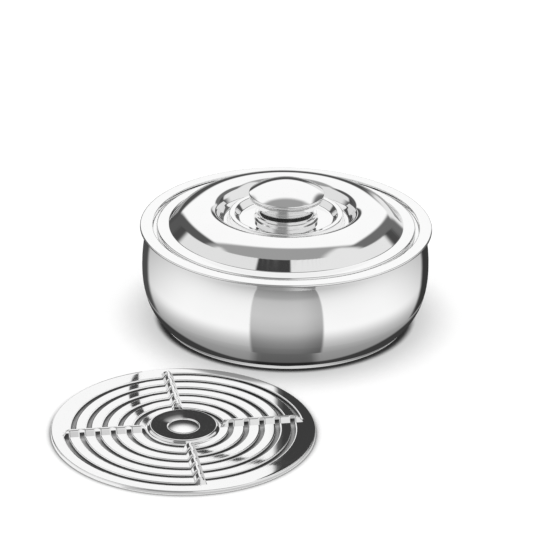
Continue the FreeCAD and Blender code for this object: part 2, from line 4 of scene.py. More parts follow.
import bpy
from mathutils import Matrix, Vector


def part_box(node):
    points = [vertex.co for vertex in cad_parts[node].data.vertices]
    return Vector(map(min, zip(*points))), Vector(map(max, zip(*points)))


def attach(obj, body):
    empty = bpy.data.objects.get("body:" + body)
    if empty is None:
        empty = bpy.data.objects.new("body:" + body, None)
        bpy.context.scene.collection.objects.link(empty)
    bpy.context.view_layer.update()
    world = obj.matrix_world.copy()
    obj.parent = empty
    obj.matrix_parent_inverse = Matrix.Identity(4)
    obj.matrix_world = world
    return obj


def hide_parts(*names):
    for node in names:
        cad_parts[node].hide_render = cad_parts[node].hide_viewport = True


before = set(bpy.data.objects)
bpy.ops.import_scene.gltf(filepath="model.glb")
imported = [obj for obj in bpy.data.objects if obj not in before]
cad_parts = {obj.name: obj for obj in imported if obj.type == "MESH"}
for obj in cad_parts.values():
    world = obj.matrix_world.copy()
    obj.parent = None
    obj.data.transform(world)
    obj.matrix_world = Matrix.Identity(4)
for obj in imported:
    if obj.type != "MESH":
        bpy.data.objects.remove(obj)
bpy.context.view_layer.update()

MM = 0.001

# Driving sizes read from the frame, in millimetres
RIM_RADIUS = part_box("inner_bowl")[1][0] / MM
BOWL_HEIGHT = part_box("inner_bowl")[1][2] / MM
RACK_LOW, RACK_HIGH = (Vector(corner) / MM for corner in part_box("roti_rack"))
RACK_CENTRE = (RACK_LOW + RACK_HIGH) / 2
RACK_RADIUS = (RACK_HIGH.x - RACK_LOW.x) / 2

# Sheet and bowl
GAUGE = 0.5
RECESS = RIM_RADIUS - 10.3
MOUTH = RECESS - 6.4
NECK = RECESS + 4.3
BELLY = MOUTH + 15.0
FOOT = BELLY - 16.5
FOOT_HEIGHT = 4.0
BASE_RECESS = 1.8
PLUG_RADIUS = 9.0
SEAT = BOWL_HEIGHT - 4.0
WELL_FLOOR = 18.0

# Lid, heights above the rim
LID = RECESS - 3.0
SKIRT = MOUTH - 1.2
FLANK = LID - 9.6
DOME = 16.5
PLATEAU = 4.3
BORE = 2.9
SKIRT_DEPTH = 9.0

# Knob, heights above its own foot
COLLAR_FOOT = BOWL_HEIGHT + PLATEAU
COLLAR_HEIGHT = 7.2
CUP_FOOT = COLLAR_FOOT + COLLAR_HEIGHT + 1.5
KNOB_RADIUS = 30.3
CUP_HEIGHT = 13.2
CAP_EDGE = 1.1
CAP_RISE = 9.6
KNOB_GAUGE = 0.6

# Rack
RACK_GAUGE = 0.8
RACK_TURN = 10.0
EDGE_HEIGHT = 3.2
EDGE_BEND = 1.4
HOLE_RADIUS = 11.4
BOSS_RADIUS = 28.0
BOSS_SLOPE = 3.5
BOSS_RISE = 2.4
BOSS_DISH = 1.0
RIDGE_HALF_WIDTH = 4.3
RIDGE_RISE = 4.4
BORDER = 11.0
SLOT_ROWS = 6
SLOT_FIRST = 30.0
SLOT_WIDTH = 3.8
SLOT_END = 0.5
SLOT_TIP = 0.3

# Rack mesh: radii of rows on the boss, insets of rows on the border, widest gap between rows,
# distances of columns from a ridge's middle
BOSS_ROWS = (13, 15, 17, 19, 21, 23, 24, 24.5, 25.1, 25.7, 26.3, 26.9, 27.5, 28.0)
BORDER_ROWS = (8, 5, 3)
ROW_GAP = 1.95
RIDGE_COLUMNS = (0, 0.25, 0.5, 0.75, 1.0, 1.4, 1.9, 2.4, 2.9, 3.4, 3.9, 4.3, 4.9, 6.0, 8.0)
PLAIN_COLUMNS = 22
EDGE_ROWS = 8

# Steel: scale of its patches, their spread of tone, and the part of the noise that turns into roughness
PATCH_SCALE = 45
TONE_SPREAD = 0.012
ROUGH_NOISE = (0.12, 0.42)

# Brightness of the studio's panels
FRONT_GREY = 0.32
LEFT_GREY = 0.82
RIGHT_GREY = 0.86
CEILING_GREY = 0.36
BACK_WHITE = 1.05
SEAM_GREY = 0.16
SEAM_DARK = 0.10
CORNER_DARK = 0.10
HORIZON_DARK = 0.08
SHOULDER_DARK = 0.07
BOOM_DARK = 0.05

# Studio tent: grid, reach in millimetres, lowest rise and sweep in degrees
TENT_ROWS = 92
TENT_COLUMNS = 240
TENT_RADIUS = 2400
TENT_FOOT = -2
TENT_SWEEP = 92

# Oval overhead that parts the ceiling from the walls: half sizes, offset and front limit in degrees,
# edge and softness as shares
RING_WIDE = 53.5
RING_DEEP = 58.0
RING_SET_BACK = 33.0
RING_FRONT = 45
RING_EDGE = 0.957
RING_SOFT = 0.014

# Walls: the bearings where the dark boom ends and the side panels end, and how soft the panels' edges are,
# far from the oval and near it
BOOM_LEFT = -43
BOOM_RIGHT = 8
BOOM_SOFT = 3
BOOM_REACH = 1.07
BOOM_FADE = 0.02
SIDE_END = 150
SIDE_NEAR = 1.2
SIDE_NEAR_FADE = 0.1
LEFT_SOFT = (26, 4)
RIGHT_SOFT = (24, 4)

# Panels as low limit, high limit and soft edge, in degrees: walls by bearing to either side and by rise,
# ceiling by angle across and deep
WALL_PANELS = (
    (SHOULDER_DARK, (127, 200, 6), (-20, 34, 8)),
    (CORNER_DARK, (108, 200, 10), (-20, 12, 8)),
)
CEILING_PANELS = (
    (SEAM_DARK, (-58, -37, 4), (13, 90, 8)),
    (SEAM_GREY, (31, 58, 7), (10, 90, 10)),
    (LEFT_GREY, (-70, -38, 6), (-40, 6, 6)),
    (RIGHT_GREY, (25, 70, 8), (-40, 9, 8)),
    (BACK_WHITE, (-37, 34, 5), (14, 80, 9)),
)
HORIZON_DEEP = (73, 120, 5)
HORIZON_BEARING = (146, 200, 8)
BACK_BEARING = (150, 168, 5)
BACK_RISE = (-20, 13, 5)

# Screen before the pot and flag over the boss, which only the rack mirrors; millimetres and degrees
SCREEN_RADIUS = 119.0
SCREEN_HEIGHTS = (4, 6, 8, 10, 12, 14, 30, 70, 145)
SCREEN_BEARINGS = (-110, 50)
SCREEN_STEPS = 80
SCREEN_DARK = (-3, 80, 3)
SCREEN_LOW = 12
SCREEN_LOW_FADE = 5
SCREEN_LOW_SHARE = 0.75
FLAG_HEIGHT = 7.0
FLAG_SET_BACK = 3
FLAG_STEPS = 72
FLAG_SHARES = (0, 0.08, 0.2, 0.5, 0.8, 0.92, 1)
FLAG_EDGE = 0.08
FLAG_PALE = 0.5
FLAG_PALE_BEARING = (185, 240, 16)
FLAG_PALE_SHARE = 0.55
FLAG_PALE_FADE = 0.3

# Heights of the cards above the table, in millimetres
TABLE_HEIGHT = 0.3
FAN_HEIGHT = 0.6
CLOTH_HEIGHT = 0.9
HEEL_HEIGHT = FOOT_HEIGHT - 0.1
RIM_LINE_HEIGHT = BOWL_HEIGHT - 3.5

# Table as the wall mirrors it: rings in millimetres from the pot's axis, brightness near and far,
# loss at the sides
TABLE_START = 112.0
TABLE_GROWTH = 1.045
TABLE_RINGS = 72
RING_STEPS = 180
TABLE_NEAR = 0.264
TABLE_NEAR_START = 104
TABLE_NEAR_FADE = 80
TABLE_FAR = 0.5
TABLE_GAIN = 0.56
TABLE_FALL = 850.0
SIDE_LOSS = 0.5
SIDE_START = 60
SIDE_FADE = 75
FOOT_BRIGHT = 0.72
FOOT_DIM = 0.26
FOOT_START = 5
FOOT_FADE = 40

# Dark line under the rim: reach in millimetres and cover of its rings, and its shade
RIM_LINE = ((0.3, 1), (9, 1), (10, 0))
RIM_LINE_SHADE = SEAM_DARK * 0.6

# Painted shade of the pot on the table, as the heel mirrors it: shares of its reach, how far it reaches
# at the front and at the sides, and how much darker it is in front
HEEL_DARK = 0.045
HEEL_SHARES = (0.03, 0.85, 0.92, 1.0, 1.1)
HEEL_FADE_START = 0.85
HEEL_FADE = 0.25
HEEL_FRONT = 6.0
HEEL_SIDE = 20.0
HEEL_SIDE_START = 15
HEEL_SIDE_FADE = 75
HEEL_OUT = 115.0
HEEL_OUT_SHARE = 0.4
HEEL_FRONT_LOSS = 0.6
HEEL_FRONT_BEARING = (-14, 14, 6)

# Darker front fan: where it starts, how its two edges spread and how much darker it is than the table
FAN_START = 103.0
FAN_GROWTH = 1.05
FAN_ROWS = 66
FAN_COLUMNS = 32
FAN_APEX = 60.0
FAN_LEFT = (0.844, 0.903)
FAN_RIGHT = (1.06, 0.88)
FAN_SOFT = 1.2
FAN_SOFT_GROWTH = 0.012
FAN_NEAR = 0.44
FAN_GAIN = 0.18
FAN_GAIN_START = 110
FAN_GAIN_REACH = 150
FAN_LOSS = 0.12
FAN_LOSS_START = 500
FAN_LOSS_REACH = 300
FAN_RIGHT_LOSS = 0.2
FAN_RIGHT_START = 0.3

# Dark cloths beside and behind the pot: outer edge, inner edge, end and darkness
CLOTH_START = (98.0, -57.0)
CLOTH_END = 290.0
CLOTH_FADE = 70
CLOTH_INNER = 108.0
CLOTH_GAP = 0.53
CLOTH_SPREAD = {-1: 0.752, 1: 0.822}
CLOTH_SHADE = {-1: 0.075, 1: 0.04}
CLOTH_SOFT = 2
CLOTH_SOFT_GROWTH = 0.11
CLOTH_ROWS = 60
CLOTH_COLUMNS = 20
CLOTH_CROWDING = 0.6

# Floor: half size in metres, brightness, glow in the steel, and the reach in millimetres and depth of its
# painted shade
FLOOR_SIZE = 12
FLOOR_WHITE = 0.6
FLOOR_DARK = 0.09
FLOOR_LIFT = 0.5
FLOOR_GLOW = 0.85
CONTACT_REACH = 6.5
CONTACT_OPEN = (0.4, 0.95)
LIFT_OPEN = (0.5, 1)
SHADE_REACH = 40
SHADE_OPEN = (0.5, 0.93)
SHADE_DEPTH = 0.75
SHADE_SAMPLES = 16

# Camera: rise and roll in degrees, distance, aim and offset in metres, lens and sensor in millimetres
CAMERA_RISE = 24.755
CAMERA_ROLL = 0.87
CAMERA_DISTANCE = 2.5
CAMERA_TARGET = (0, 0, 0.040)
CAMERA_OFFSET = (-0.01515, 0.00278)
CAMERA_LENS = 208.4
CAMERA_SENSOR = 36

# Meshes: side a sheet thickens to, steps round a turned piece, turn per step of a bend, sharpest smooth edge
LEFT, RIGHT = 1, -1
SEGMENTS = 288
ARC_STEP = math.radians(5)
SHARP = math.radians(32)


def direction(start, end):
    """Unit vector from one corner to the next."""
    return (Vector(end[:2]) - Vector(start[:2])).normalized()


def bend_points(corner, before, after, bend):
    """Points and left-hand normals along the arc that rounds one corner."""
    turn = math.atan2(before.cross(after), before.dot(after))
    trim = bend * math.tan(abs(turn) / 2)
    start = Vector(corner[:2]) - before * trim
    side = math.copysign(1, turn)
    centre = start + Vector((-before.y, before.x)) * bend * side
    steps = max(4, math.ceil(abs(turn) / ARC_STEP))
    spoke = start - centre
    points = []
    for step in range(steps + 1):
        angle = turn * step / steps
        turned = Vector((
            spoke.x * math.cos(angle) - spoke.y * math.sin(angle),
            spoke.x * math.sin(angle) + spoke.y * math.cos(angle),
        ))
        points.append((centre + turned, -turned.normalized() * side))
    return points


def trace(corners, closed=False):
    """Points and left-hand normals along an outline whose corners may be rounded."""
    count = len(corners)
    path = []
    for index, corner in enumerate(corners):
        inner = closed or 0 < index < count - 1
        before = direction(corners[index - 1], corner) if index or closed else None
        last = index == count - 1 and not closed
        after = None if last else direction(corner, corners[(index + 1) % count])
        before, after = before or after, after or before
        if inner and len(corner) > 2:
            path += bend_points(corner, before, after, corner[2])
            continue
        normals = Vector((-before.y, before.x)), Vector((-after.y, after.x))
        mitre = (normals[0] + normals[1]) / (1 + normals[0].dot(normals[1]))
        path.append((Vector(corner[:2]), mitre))
    return path


def new_piece(name, vertices, faces, body, node, material):
    """Smooth mesh that stands for a CAD node and rides on its body."""
    mesh = bpy.data.meshes.new(name)
    mesh.from_pydata(vertices, [], faces)
    mesh.validate()
    mesh.polygons.foreach_set("use_smooth", [True] * len(mesh.polygons))
    mesh.set_sharp_from_angle(angle=SHARP)
    piece = bpy.data.objects.new(name, mesh)
    bpy.context.collection.objects.link(piece)
    mesh.materials.append(material)
    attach(piece, body)
    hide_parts(node)
    return piece


def lathe(name, loop, lift, body, material):
    """Closed half section turned about the vertical axis; the loop is in millimetres above lift."""
    vertices = []
    rings = []
    for point in loop:
        radius, height = point.x * MM, (point.y + lift) * MM
        if radius < 1e-7:
            rings.append([len(vertices)] * SEGMENTS)
            vertices.append((0, 0, height))
            continue
        rings.append(list(range(len(vertices), len(vertices) + SEGMENTS)))
        for step in range(SEGMENTS):
            angle = 2 * math.pi * step / SEGMENTS
            vertices.append((radius * math.cos(angle), radius * math.sin(angle), height))
    faces = []
    for index, ring in enumerate(rings):
        following = rings[(index + 1) % len(rings)]
        for step in range(SEGMENTS):
            ahead = (step + 1) % SEGMENTS
            face = list(dict.fromkeys((ring[step], ring[ahead], following[ahead], following[step])))
            if len(face) > 2:
                faces.append(face)
    new_piece("fine_" + name, vertices, faces, body, name, material)


def sheet(name, corners, gauge, side, lift, body, material):
    """Spun sheet: its outline and the parallel one gauge to the side."""
    path = trace(corners)
    outer = [point for point, normal in path]
    inner = [point + normal * gauge * side for point, normal in path]
    for point in inner:
        point.x = max(point.x, 0)
    loop = outer + inner[::-1]
    if side == LEFT:
        loop.reverse()
    lathe(name, loop, lift, body, material)


def solid(name, corners, lift, body, material):
    """Turned solid from its closed outline, drawn anticlockwise."""
    lathe(name, [point for point, normal in trace(corners, closed=True)], lift, body, material)


def node_tree(name):
    """New node material with its nodes, its links and its shader."""
    material = bpy.data.materials.new(name)
    material.use_nodes = True
    nodes = material.node_tree.nodes
    return material, nodes, material.node_tree.links, nodes["Principled BSDF"]


def combine(nodes, links, operation, first, second):
    """Output of a math node over two outputs."""
    node = nodes.new("ShaderNodeMath")
    node.operation = operation
    links.new(first, node.inputs[0])
    links.new(second, node.inputs[1])
    return node.outputs[0]


def remap(nodes, links, value, source, target):
    """Output of a node that maps one range of a value onto another and clamps it."""
    node = nodes.new("ShaderNodeMapRange")
    node.inputs["From Min"].default_value = source[0]
    node.inputs["From Max"].default_value = source[1]
    node.inputs["To Min"].default_value = target[0]
    node.inputs["To Max"].default_value = target[1]
    links.new(value, node.inputs["Value"])
    return node.outputs["Result"]


def steel(name, colour, polish, spin, wave, centre=(0, 0)):
    """Sheet steel: faint rings left by spinning, patches of finer and coarser polish, soft waves.

    Polish is the range of roughness; spin and wave are each a noise scale and a height in millimetres.
    """
    material, nodes, links, shader = node_tree(name)
    place = nodes.new("ShaderNodeTexCoord")
    shifted = nodes.new("ShaderNodeVectorMath")
    shifted.operation = "SUBTRACT"
    shifted.inputs[1].default_value = (centre[0] * MM, centre[1] * MM, 0)
    links.new(place.outputs["Object"], shifted.inputs[0])

    flat = nodes.new("ShaderNodeVectorMath")
    flat.operation = "MULTIPLY"
    flat.inputs[1].default_value = (1, 1, 0)
    links.new(shifted.outputs[0], flat.inputs[0])
    radius = nodes.new("ShaderNodeVectorMath")
    radius.operation = "LENGTH"
    links.new(flat.outputs[0], radius.inputs[0])
    parts = nodes.new("ShaderNodeSeparateXYZ")
    links.new(shifted.outputs[0], parts.inputs[0])
    along = combine(nodes, links, "ADD", radius.outputs["Value"], parts.outputs["Z"])

    rings = nodes.new("ShaderNodeTexNoise")
    rings.noise_dimensions = "1D"
    rings.inputs["Scale"].default_value = spin[0]
    rings.inputs["Detail"].default_value = 3
    links.new(along, rings.inputs["W"])

    patches = nodes.new("ShaderNodeTexNoise")
    patches.inputs["Scale"].default_value = PATCH_SCALE
    patches.inputs["Detail"].default_value = 4
    links.new(shifted.outputs[0], patches.inputs["Vector"])

    mixed = combine(nodes, links, "MULTIPLY", rings.outputs["Fac"], patches.outputs["Fac"])
    links.new(remap(nodes, links, mixed, ROUGH_NOISE, polish), shader.inputs["Roughness"])
    tones = (colour - TONE_SPREAD, colour + TONE_SPREAD)
    links.new(remap(nodes, links, patches.outputs["Fac"], (0, 1), tones), shader.inputs["Base Color"])

    waves = nodes.new("ShaderNodeTexNoise")
    waves.inputs["Scale"].default_value = wave[0]
    waves.inputs["Detail"].default_value = 1
    links.new(shifted.outputs[0], waves.inputs["Vector"])
    wavy = nodes.new("ShaderNodeBump")
    wavy.inputs["Strength"].default_value = 1
    wavy.inputs["Distance"].default_value = wave[1] * MM
    links.new(waves.outputs["Fac"], wavy.inputs["Height"])
    spun = nodes.new("ShaderNodeBump")
    spun.inputs["Strength"].default_value = 1
    spun.inputs["Distance"].default_value = spin[1] * MM
    links.new(rings.outputs["Fac"], spun.inputs["Height"])
    links.new(wavy.outputs["Normal"], spun.inputs["Normal"])
    links.new(spun.outputs["Normal"], shader.inputs["Normal"])
    shader.inputs["Metallic"].default_value = 1
    return material


def grainy(name, dark, pale, scale, roughness, height):
    """Plastic, rubber or foam: two tones in a fine grain that also roughens the surface."""
    material, nodes, links, shader = node_tree(name)
    place = nodes.new("ShaderNodeTexCoord")
    grain = nodes.new("ShaderNodeTexNoise")
    grain.inputs["Scale"].default_value = scale
    grain.inputs["Detail"].default_value = 5
    links.new(place.outputs["Object"], grain.inputs["Vector"])
    tones = nodes.new("ShaderNodeValToRGB")
    tones.color_ramp.elements[0].position = 0.3
    tones.color_ramp.elements[0].color = (*dark, 1)
    tones.color_ramp.elements[1].position = 0.7
    tones.color_ramp.elements[1].color = (*pale, 1)
    links.new(grain.outputs["Fac"], tones.inputs["Fac"])
    links.new(tones.outputs["Color"], shader.inputs["Base Color"])
    bump = nodes.new("ShaderNodeBump")
    bump.inputs["Distance"].default_value = height * MM
    links.new(grain.outputs["Fac"], bump.inputs["Height"])
    links.new(bump.outputs["Normal"], shader.inputs["Normal"])
    shader.inputs["Roughness"].default_value = roughness
    return material


def build_bowl(metal):
    """Outer bowl, inner bowl and base plate."""
    lip = BOWL_HEIGHT - 2 * GAUGE
    outer = [
        (RIM_RADIUS - 3 * GAUGE, lip),
        (NECK, lip, 2 * GAUGE),
        (BELLY, BOWL_HEIGHT - 20.2, 128.0),
        (BELLY, 34.3, 79.0),
        (BELLY - 5.0, 14.3, 45.0),
        (BELLY - 13.8, FOOT_HEIGHT, 2 * GAUGE),
        (FOOT - 8.0, FOOT_HEIGHT),
    ]
    sheet("outer_bowl", outer, GAUGE, RIGHT, 0, "bowl", metal)
    hem = BOWL_HEIGHT - 3 * GAUGE
    inner = [
        (NECK + 4 * GAUGE, hem),
        (RIM_RADIUS, hem),
        (RIM_RADIUS, BOWL_HEIGHT, 1.4),
        (RECESS, BOWL_HEIGHT, 0.9),
        (RECESS, SEAT, 0.9),
        (MOUTH, SEAT, 0.9),
        (MOUTH, WELL_FLOOR, 24.0),
        (0, WELL_FLOOR),
    ]
    sheet("inner_bowl", inner, GAUGE, LEFT, 0, "bowl", metal)
    base = [
        (PLUG_RADIUS, BASE_RECESS),
        (FOOT - 5.0, BASE_RECESS, 2 * GAUGE),
        (FOOT - 5.0 + BASE_RECESS / 2, 0, 0.8),
        (FOOT, 0, 2 * GAUGE),
        (FOOT, FOOT_HEIGHT),
    ]
    sheet("base_plate", base, GAUGE, LEFT, 0, "bowl", metal)


def build_lid(metal):
    """Lid shell and lid liner."""
    shell = [
        (BORE, PLATEAU),
        (37.5, PLATEAU, 2.0),
        (41.5, 10.2, 2.0),
        (45.6, 10.2, 2.0),
        (47.3, 2.4, 1.0),
        (50.3, 2.4, 2.0),
        (57.8, DOME, 12.0),
        (FLANK - DOME, DOME, 31.0),
        (FLANK, 0, 2.0),
        (LID, 0, 1.9),
        (LID, SEAT - BOWL_HEIGHT, 1.9),
        (LID - 1.9 - GAUGE, SEAT - BOWL_HEIGHT),
    ]
    sheet("lid_shell", shell, GAUGE, RIGHT, BOWL_HEIGHT, "lid", metal)
    liner = [
        (LID - 1.9, -2 * GAUGE),
        (SKIRT, -2 * GAUGE, 2 * GAUGE),
        (SKIRT, -SKIRT_DEPTH, 3.0),
        (70.0, -SKIRT_DEPTH, 3.0),
        (62.0, 4.0 - SKIRT_DEPTH, 3.0),
        (0, 4.0 - SKIRT_DEPTH),
    ]
    sheet("lid_liner", liner, GAUGE, RIGHT, BOWL_HEIGHT, "lid", metal)


def build_knob(metal):
    """Collar, cup and cap of the knob."""
    collar = [
        (BORE, 0),
        (26.0, 0),
        (26.0, 1.8, 0.6),
        (24.0, 3.2, 1.8),
        (24.0, 5.0, 1.8),
        (24.6, COLLAR_HEIGHT, 0.45),
        (BORE, COLLAR_HEIGHT),
    ]
    solid("knob_collar", collar, COLLAR_FOOT, "lid", metal)
    cup = [
        (BORE, 0),
        (22.0, 0, 4.0),
        (KNOB_RADIUS, 11.3, 5.5),
        (KNOB_RADIUS, CUP_HEIGHT),
    ]
    sheet("knob_cup", cup, KNOB_GAUGE, LEFT, CUP_FOOT, "lid", metal)
    shoulder = CUP_HEIGHT + CAP_EDGE
    cap = [
        (0, shoulder + CAP_RISE),
        (16.7, shoulder + CAP_RISE, 50.0),
        (KNOB_RADIUS, shoulder, CAP_EDGE),
        (KNOB_RADIUS, CUP_HEIGHT),
    ]
    fit_bends(cap)
    sheet("knob_cap", cap, KNOB_GAUGE, RIGHT, CUP_FOOT, "lid", metal)


def fit_bends(corners):
    """Shrink the bends at both ends of a run that is too short for them."""
    for index in range(len(corners) - 1):
        taken = 0
        for end in (index, index + 1):
            if 0 < end < len(corners) - 1 and len(corners[end]) > 2:
                before = direction(corners[end - 1], corners[end])
                after = direction(corners[end], corners[end + 1])
                taken += corners[end][2] * math.tan(before.angle(after) / 2)
        length = (Vector(corners[index + 1][:2]) - Vector(corners[index][:2])).length
        if taken > 0.98 * length:
            for end in (index, index + 1):
                if len(corners[end]) > 2:
                    corners[end] = (*corners[end][:2], corners[end][2] * 0.98 * length / taken)


def smooth(value):
    """Ease from 0 to 1."""
    value = min(max(value, 0), 1)
    return value * value * (3 - 2 * value)


def rack_height(radius, aside):
    """Height of the rack's upper face: boss, ridges and flat border."""
    boss_top = EDGE_HEIGHT + BOSS_RISE
    if radius < BOSS_RADIUS - BOSS_SLOPE:
        share = (radius - HOLE_RADIUS) / (BOSS_RADIUS - BOSS_SLOPE - HOLE_RADIUS)
        return boss_top - BOSS_DISH * (1 - share ** 2)
    plate = EDGE_HEIGHT + BOSS_RISE * smooth((BOSS_RADIUS - radius) / BOSS_SLOPE)
    ridge_end = RACK_RADIUS - BORDER + SLOT_WIDTH / 2
    inward = min(radius - BOSS_RADIUS, ridge_end - radius) / RIDGE_RISE
    across = 1 - abs(aside) / RIDGE_HALF_WIDTH
    if inward <= 0 or across <= 0:
        return plate
    return plate + RIDGE_RISE * min(rounded(across), rounded(inward))


def rounded(share):
    """Steep foot and round crest."""
    share = min(max(share, 0), 1)
    return math.sin(math.pi / 2 * share)


def rack_rows():
    """Radii of the rack's rows, and for each slot row of either set the rows that bound it."""
    pitch = (RACK_RADIUS - BORDER - SLOT_FIRST) / (SLOT_ROWS - 1)
    half = SLOT_WIDTH / 2
    mids = [(SLOT_FIRST + pitch * row, 0) for row in range(SLOT_ROWS)]
    mids += [(SLOT_FIRST + pitch * (row + 0.5), 1) for row in range(SLOT_ROWS - 1)]
    marks = {}
    for mid, group in mids:
        for side in (-1, 0, 1):
            marks[round(mid + side * half, 4)] = (mid, side, group)
    extra = [HOLE_RADIUS, *BOSS_ROWS]
    extra += [RACK_RADIUS - inset for inset in BORDER_ROWS]
    ordered = sorted(marks)
    for low, high in zip(ordered, ordered[1:]):
        if high - low > ROW_GAP:
            extra.append(round((low + high) / 2, 4))
    for value in extra:
        marks.setdefault(round(value, 4), None)
    flat_end = RACK_RADIUS - EDGE_BEND
    return [(radius, marks[radius]) for radius in sorted(marks) if radius <= flat_end]


def slot_shift(mark, group, aside):
    """Radial shift of a row beside a slot, which narrows to a round end at the ridge's crest."""
    if mark is None or mark[2] != group or mark[1] == 0:
        return 0
    half = SLOT_WIDTH / 2
    if aside <= SLOT_END:
        narrow = SLOT_TIP + (half - SLOT_TIP) * (1 - aside / SLOT_END)
    else:
        reach = max(0, 1 - (aside - SLOT_END) / half)
        narrow = max(SLOT_TIP, half * math.sqrt(max(0, 1 - reach ** 2)))
    return mark[1] * (narrow - half)


def build_rack(metal):
    """Pressed rack: rows of radii by columns that follow the four ridges, slots left open."""
    rows = rack_rows()
    sector = math.pi / 2
    columns = []
    for quadrant in range(4):
        columns += [(quadrant, "start", aside) for aside in RIDGE_COLUMNS]
        columns += [(quadrant, "share", step / PLAIN_COLUMNS) for step in range(1, PLAIN_COLUMNS)]
        columns += [(quadrant, "end", aside) for aside in RIDGE_COLUMNS[:0:-1]]
    vertices = []
    grid = []
    for radius, mark in rows:
        line = []
        for quadrant, kind, value in columns:
            group = quadrant % 2
            aside = value if kind != "share" else RIDGE_COLUMNS[-1]
            place = radius + slot_shift(mark, group, aside)
            margin = math.asin(min(aside / place, 0.7))
            if kind == "start":
                angle = margin
            elif kind == "end":
                angle = sector - margin
            else:
                angle = margin + (sector - 2 * margin) * value
            across = place * math.sin(min(angle, sector - angle))
            height = rack_height(place, across)
            angle += quadrant * sector + math.radians(RACK_TURN) + math.pi
            line.append(len(vertices))
            vertices.append((place * math.cos(angle), place * math.sin(angle), height))
        grid.append(line)
    for step in range(1, EDGE_ROWS + 1):
        turn = math.pi / 2 * step / EDGE_ROWS
        place = RACK_RADIUS - EDGE_BEND + EDGE_BEND * math.sin(turn)
        height = EDGE_HEIGHT - EDGE_BEND + EDGE_BEND * math.cos(turn)
        grid.append(ring_line(vertices, grid[-1], place, height))
    grid.append(ring_line(vertices, grid[-1], RACK_RADIUS, 0))
    faces = []
    count = len(columns)
    marks = [mark for radius, mark in rows] + [None] * (len(grid) - len(rows))
    for index, (line, following) in enumerate(zip(grid, grid[1:])):
        for step in range(count):
            ahead = (step + 1) % count
            if in_slot(marks[index], marks[index + 1], columns[step], columns[ahead]):
                continue
            faces.append([line[step], following[step], following[ahead], line[ahead]])
    placed = [((x + RACK_CENTRE.x) * MM, (y + RACK_CENTRE.y) * MM, z * MM) for x, y, z in vertices]
    used = sorted({corner for face in faces for corner in face})
    order = {old: new for new, old in enumerate(used)}
    placed = [placed[old] for old in used]
    faces = [[order[corner] for corner in face] for face in faces]
    piece = new_piece("fine_roti_rack", placed, faces, "rack", "roti_rack", metal)
    thick = piece.modifiers.new("gauge", "SOLIDIFY")
    thick.thickness = RACK_GAUGE * MM
    thick.offset = -1
    thick.use_even_offset = False
    piece.visible_glossy = False


def ring_line(vertices, before, place, height):
    """One more row outside the last, at the same bearings."""
    line = []
    for index in before:
        x, y, _ = vertices[index]
        scale = place / math.hypot(x, y)
        line.append(len(vertices))
        vertices.append((x * scale, y * scale, height))
    return line


def in_slot(low, high, column, following):
    """Whether the cell between two rows and two columns belongs to an open slot."""
    if low is None or high is None or low[0] != high[0]:
        return False
    group = column[0] % 2
    if low[2] != group or following[0] % 2 != group and following[2] != 0:
        return False
    if column[1] == "start" and column[2] < SLOT_END:
        return False
    return not (column[1] == "end" and column[2] <= SLOT_END)


def card_material(name, one_sided=False):
    """Plain glowing card whose shade and cover are stored on its points; clear from behind if one-sided."""
    material = bpy.data.materials.new(name)
    material.use_nodes = True
    nodes = material.node_tree.nodes
    links = material.node_tree.links
    nodes.clear()
    shade = nodes.new("ShaderNodeAttribute")
    shade.attribute_name = "shade"
    cover = nodes.new("ShaderNodeAttribute")
    cover.attribute_name = "cover"
    seen = cover.outputs["Fac"]
    if one_sided:
        side = nodes.new("ShaderNodeNewGeometry")
        front = remap(nodes, links, side.outputs["Backfacing"], (0, 1), (1, 0))
        seen = combine(nodes, links, "MULTIPLY", seen, front)
    glow = nodes.new("ShaderNodeEmission")
    links.new(shade.outputs["Fac"], glow.inputs["Strength"])
    clear = nodes.new("ShaderNodeBsdfTransparent")
    mix = nodes.new("ShaderNodeMixShader")
    links.new(seen, mix.inputs[0])
    links.new(clear.outputs[0], mix.inputs[1])
    links.new(glow.outputs[0], mix.inputs[2])
    out = nodes.new("ShaderNodeOutputMaterial")
    links.new(mix.outputs[0], out.inputs["Surface"])
    return material


def card(name, grid, material):
    """Studio card seen only in reflections; each grid point is (place, shade, cover)."""
    width = len(grid[0])
    points = [point for line in grid for point in line]
    faces = []
    for row in range(len(grid) - 1):
        for step in range(width - 1):
            corner = row * width + step
            faces.append([corner, corner + 1, corner + width + 1, corner + width])
    mesh = bpy.data.meshes.new(name)
    mesh.from_pydata([place for place, shade, cover in points], [], faces)
    for index, key in ((1, "shade"), (2, "cover")):
        layer = mesh.attributes.new(key, "FLOAT", "POINT")
        layer.data.foreach_set("value", [point[index] for point in points])
    mesh.materials.append(material)
    piece = bpy.data.objects.new(name, mesh)
    bpy.context.collection.objects.link(piece)
    piece.visible_camera = False
    piece.visible_diffuse = False
    piece.visible_transmission = False
    piece.visible_volume_scatter = False
    piece.visible_shadow = False


def within(value, low, high, soft):
    """1 between two limits, easing to 0 over a soft edge centred on each."""
    return smooth((value - low) / soft + 0.5) * smooth((high - value) / soft + 0.5)


def polar(bearing, radius, height):
    """Place on the table, its bearing taken from the front towards +X; metres."""
    turn = math.radians(bearing)
    return (radius * MM * math.sin(turn), -radius * MM * math.cos(turn), height * MM)


def blend(shade, other, share):
    """One value moved towards another by a share."""
    return shade + (other - shade) * share


